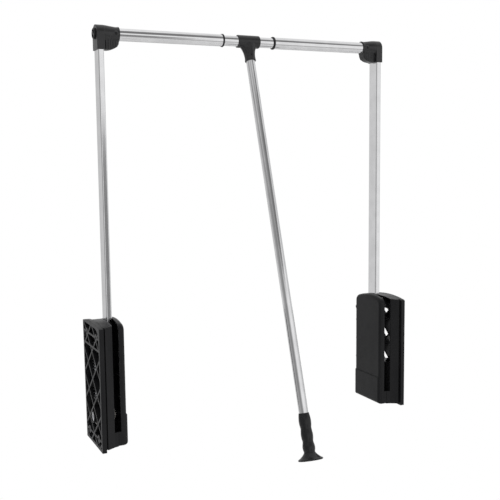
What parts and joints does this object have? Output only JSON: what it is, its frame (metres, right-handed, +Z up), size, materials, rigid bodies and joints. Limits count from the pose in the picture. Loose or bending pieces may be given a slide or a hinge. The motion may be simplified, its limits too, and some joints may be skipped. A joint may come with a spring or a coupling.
{
  "type": "pull-down wardrobe lift",
  "caption": "Wall-to-wall clothes rail on two spring-assisted arms that a central pull rod swings forward and down; telescopic rail, lattice-backed side housings.",
  "frame": {"origin": "on the left wall face, straight below the arm, at the lower edge of the housing's flange", "axes": "+X from the left wall face to the right one along the rail, -Y the front that the rail is pulled towards, +Z up"},
  "size_m": [0.726, 0.3545, 0.8648],
  "materials": {
    "housing_plastic": "fine moulded texture, satin black",
    "joint_plastic": "satin black",
    "cap_plastic": "satin black",
    "ring_plastic": "satin black",
    "grip_plastic": "semi-gloss black",
    "bearing_plastic": "natural acetal",
    "arm_chrome": "bright chrome plate",
    "rail_chrome": "bright chrome plate",
    "centre_chrome": "bright chrome plate",
    "rod_chrome": "bright chrome plate",
    "screw_steel": "zinc-plated",
    "black_screw": "black-finished screw",
    "plate_steel": "zinc-plated",
    "spring_steel": "oiled spring wire",
    "cast_metal": "die-cast",
    "stop_rubber": "soft black rubber"
  },
  "bodies": {
    "left_housing": {"left_mount_shell": "housing_plastic", "left_inner_cover": "housing_plastic", "left_cover_screws": "screw_steel", "left_pivot_pin": "screw_steel", "left_pivot_washers": "bearing_plastic", "left_spring_anchor": "plate_steel", "left_arm_stop": "stop_rubber", "left_springs": "spring_steel"},
    "left_arm": {"left_arm_foot": "cast_metal", "left_arm_rivets": "screw_steel", "left_crank_pin": "screw_steel", "left_arm_tube": "arm_chrome", "left_corner_connector": "joint_plastic", "left_connector_cap": "cap_plastic", "left_rail_screw": "black_screw", "left_arm_screw": "screw_steel", "left_rail_tube": "rail_chrome", "left_rail_ring": "ring_plastic"},
    "left_spring_rod": {"left_spring_yoke": "bearing_plastic", "left_spring_rods": "plate_steel"},
    "right_housing": {"right_mount_shell": "housing_plastic", "right_inner_cover": "housing_plastic", "right_cover_screws": "screw_steel", "right_pivot_pin": "screw_steel", "right_pivot_washers": "bearing_plastic", "right_spring_anchor": "plate_steel", "right_arm_stop": "stop_rubber", "right_springs": "spring_steel"},
    "right_arm": {"right_arm_foot": "cast_metal", "right_arm_rivets": "screw_steel", "right_crank_pin": "screw_steel", "right_arm_tube": "arm_chrome", "right_corner_connector": "joint_plastic", "right_connector_cap": "cap_plastic", "right_rail_screw": "black_screw", "right_arm_screw": "screw_steel", "right_rail_tube": "rail_chrome", "right_rail_ring": "ring_plastic"},
    "right_spring_rod": {"right_spring_yoke": "bearing_plastic", "right_spring_rods": "plate_steel"},
    "centre_rail": {"centre_tube": "centre_chrome", "tee_keeper": "spring_steel"},
    "pull_handle": {"handle_tee": "joint_plastic", "tee_screw": "screw_steel", "pull_rod": "rod_chrome", "grip": "grip_plastic", "grip_foot": "grip_plastic"}
  },
  "joints": [
    {"name": "left_arm_swing", "type": "hinge", "parent": "left_housing", "child": "left_arm", "pos_m": [0.037, 0, 0.056], "axis": [1, 0, 0], "range_deg": [0, 95], "stiffness_Nm_per_rad": 14, "springref_deg": -17.19, "deforming": ["left_springs"]},
    {"name": "width_slide", "type": "slide", "parent": "left_housing", "child": "right_housing", "axis": [1, 0, 0], "range_m": [-0.064, 0.27]},
    {"name": "right_arm_swing", "type": "hinge", "parent": "right_housing", "child": "right_arm", "pos_m": [0.689, 0, 0.056], "axis": [1, 0, 0], "range_deg": [0, 95], "stiffness_Nm_per_rad": 14, "springref_deg": -17.19, "deforming": ["right_springs"]},
    {"name": "left_rod_swivel", "type": "hinge", "parent": "left_arm", "child": "left_spring_rod", "pos_m": [0.017, 0.01635, 0.04128], "axis": [1, 0, 0], "range_deg": [-95, 0]},
    {"name": "right_rod_swivel", "type": "hinge", "parent": "right_arm", "child": "right_spring_rod", "pos_m": [0.709, 0.01635, 0.04128], "axis": [1, 0, 0], "range_deg": [-95, 0]},
    {"name": "rail_centre_slide", "type": "slide", "parent": "left_arm", "child": "centre_rail", "axis": [1, 0, 0], "range_m": [-0.032, 0.135]},
    {"name": "handle_swing", "type": "hinge", "parent": "centre_rail", "child": "pull_handle", "pos_m": [0.363, 0, 0.8325], "axis": [1, 0, 0], "continuous": true}
  ],
  "couplings": [
    {"joint": "right_arm_swing", "follows": "left_arm_swing", "ratio": 1},
    {"joint": "left_rod_swivel", "follows": "left_arm_swing", "ratio": -1},
    {"joint": "right_rod_swivel", "follows": "left_arm_swing", "ratio": -1},
    {"joint": "rail_centre_slide", "follows": "width_slide", "ratio": 0.5}
  ]
}
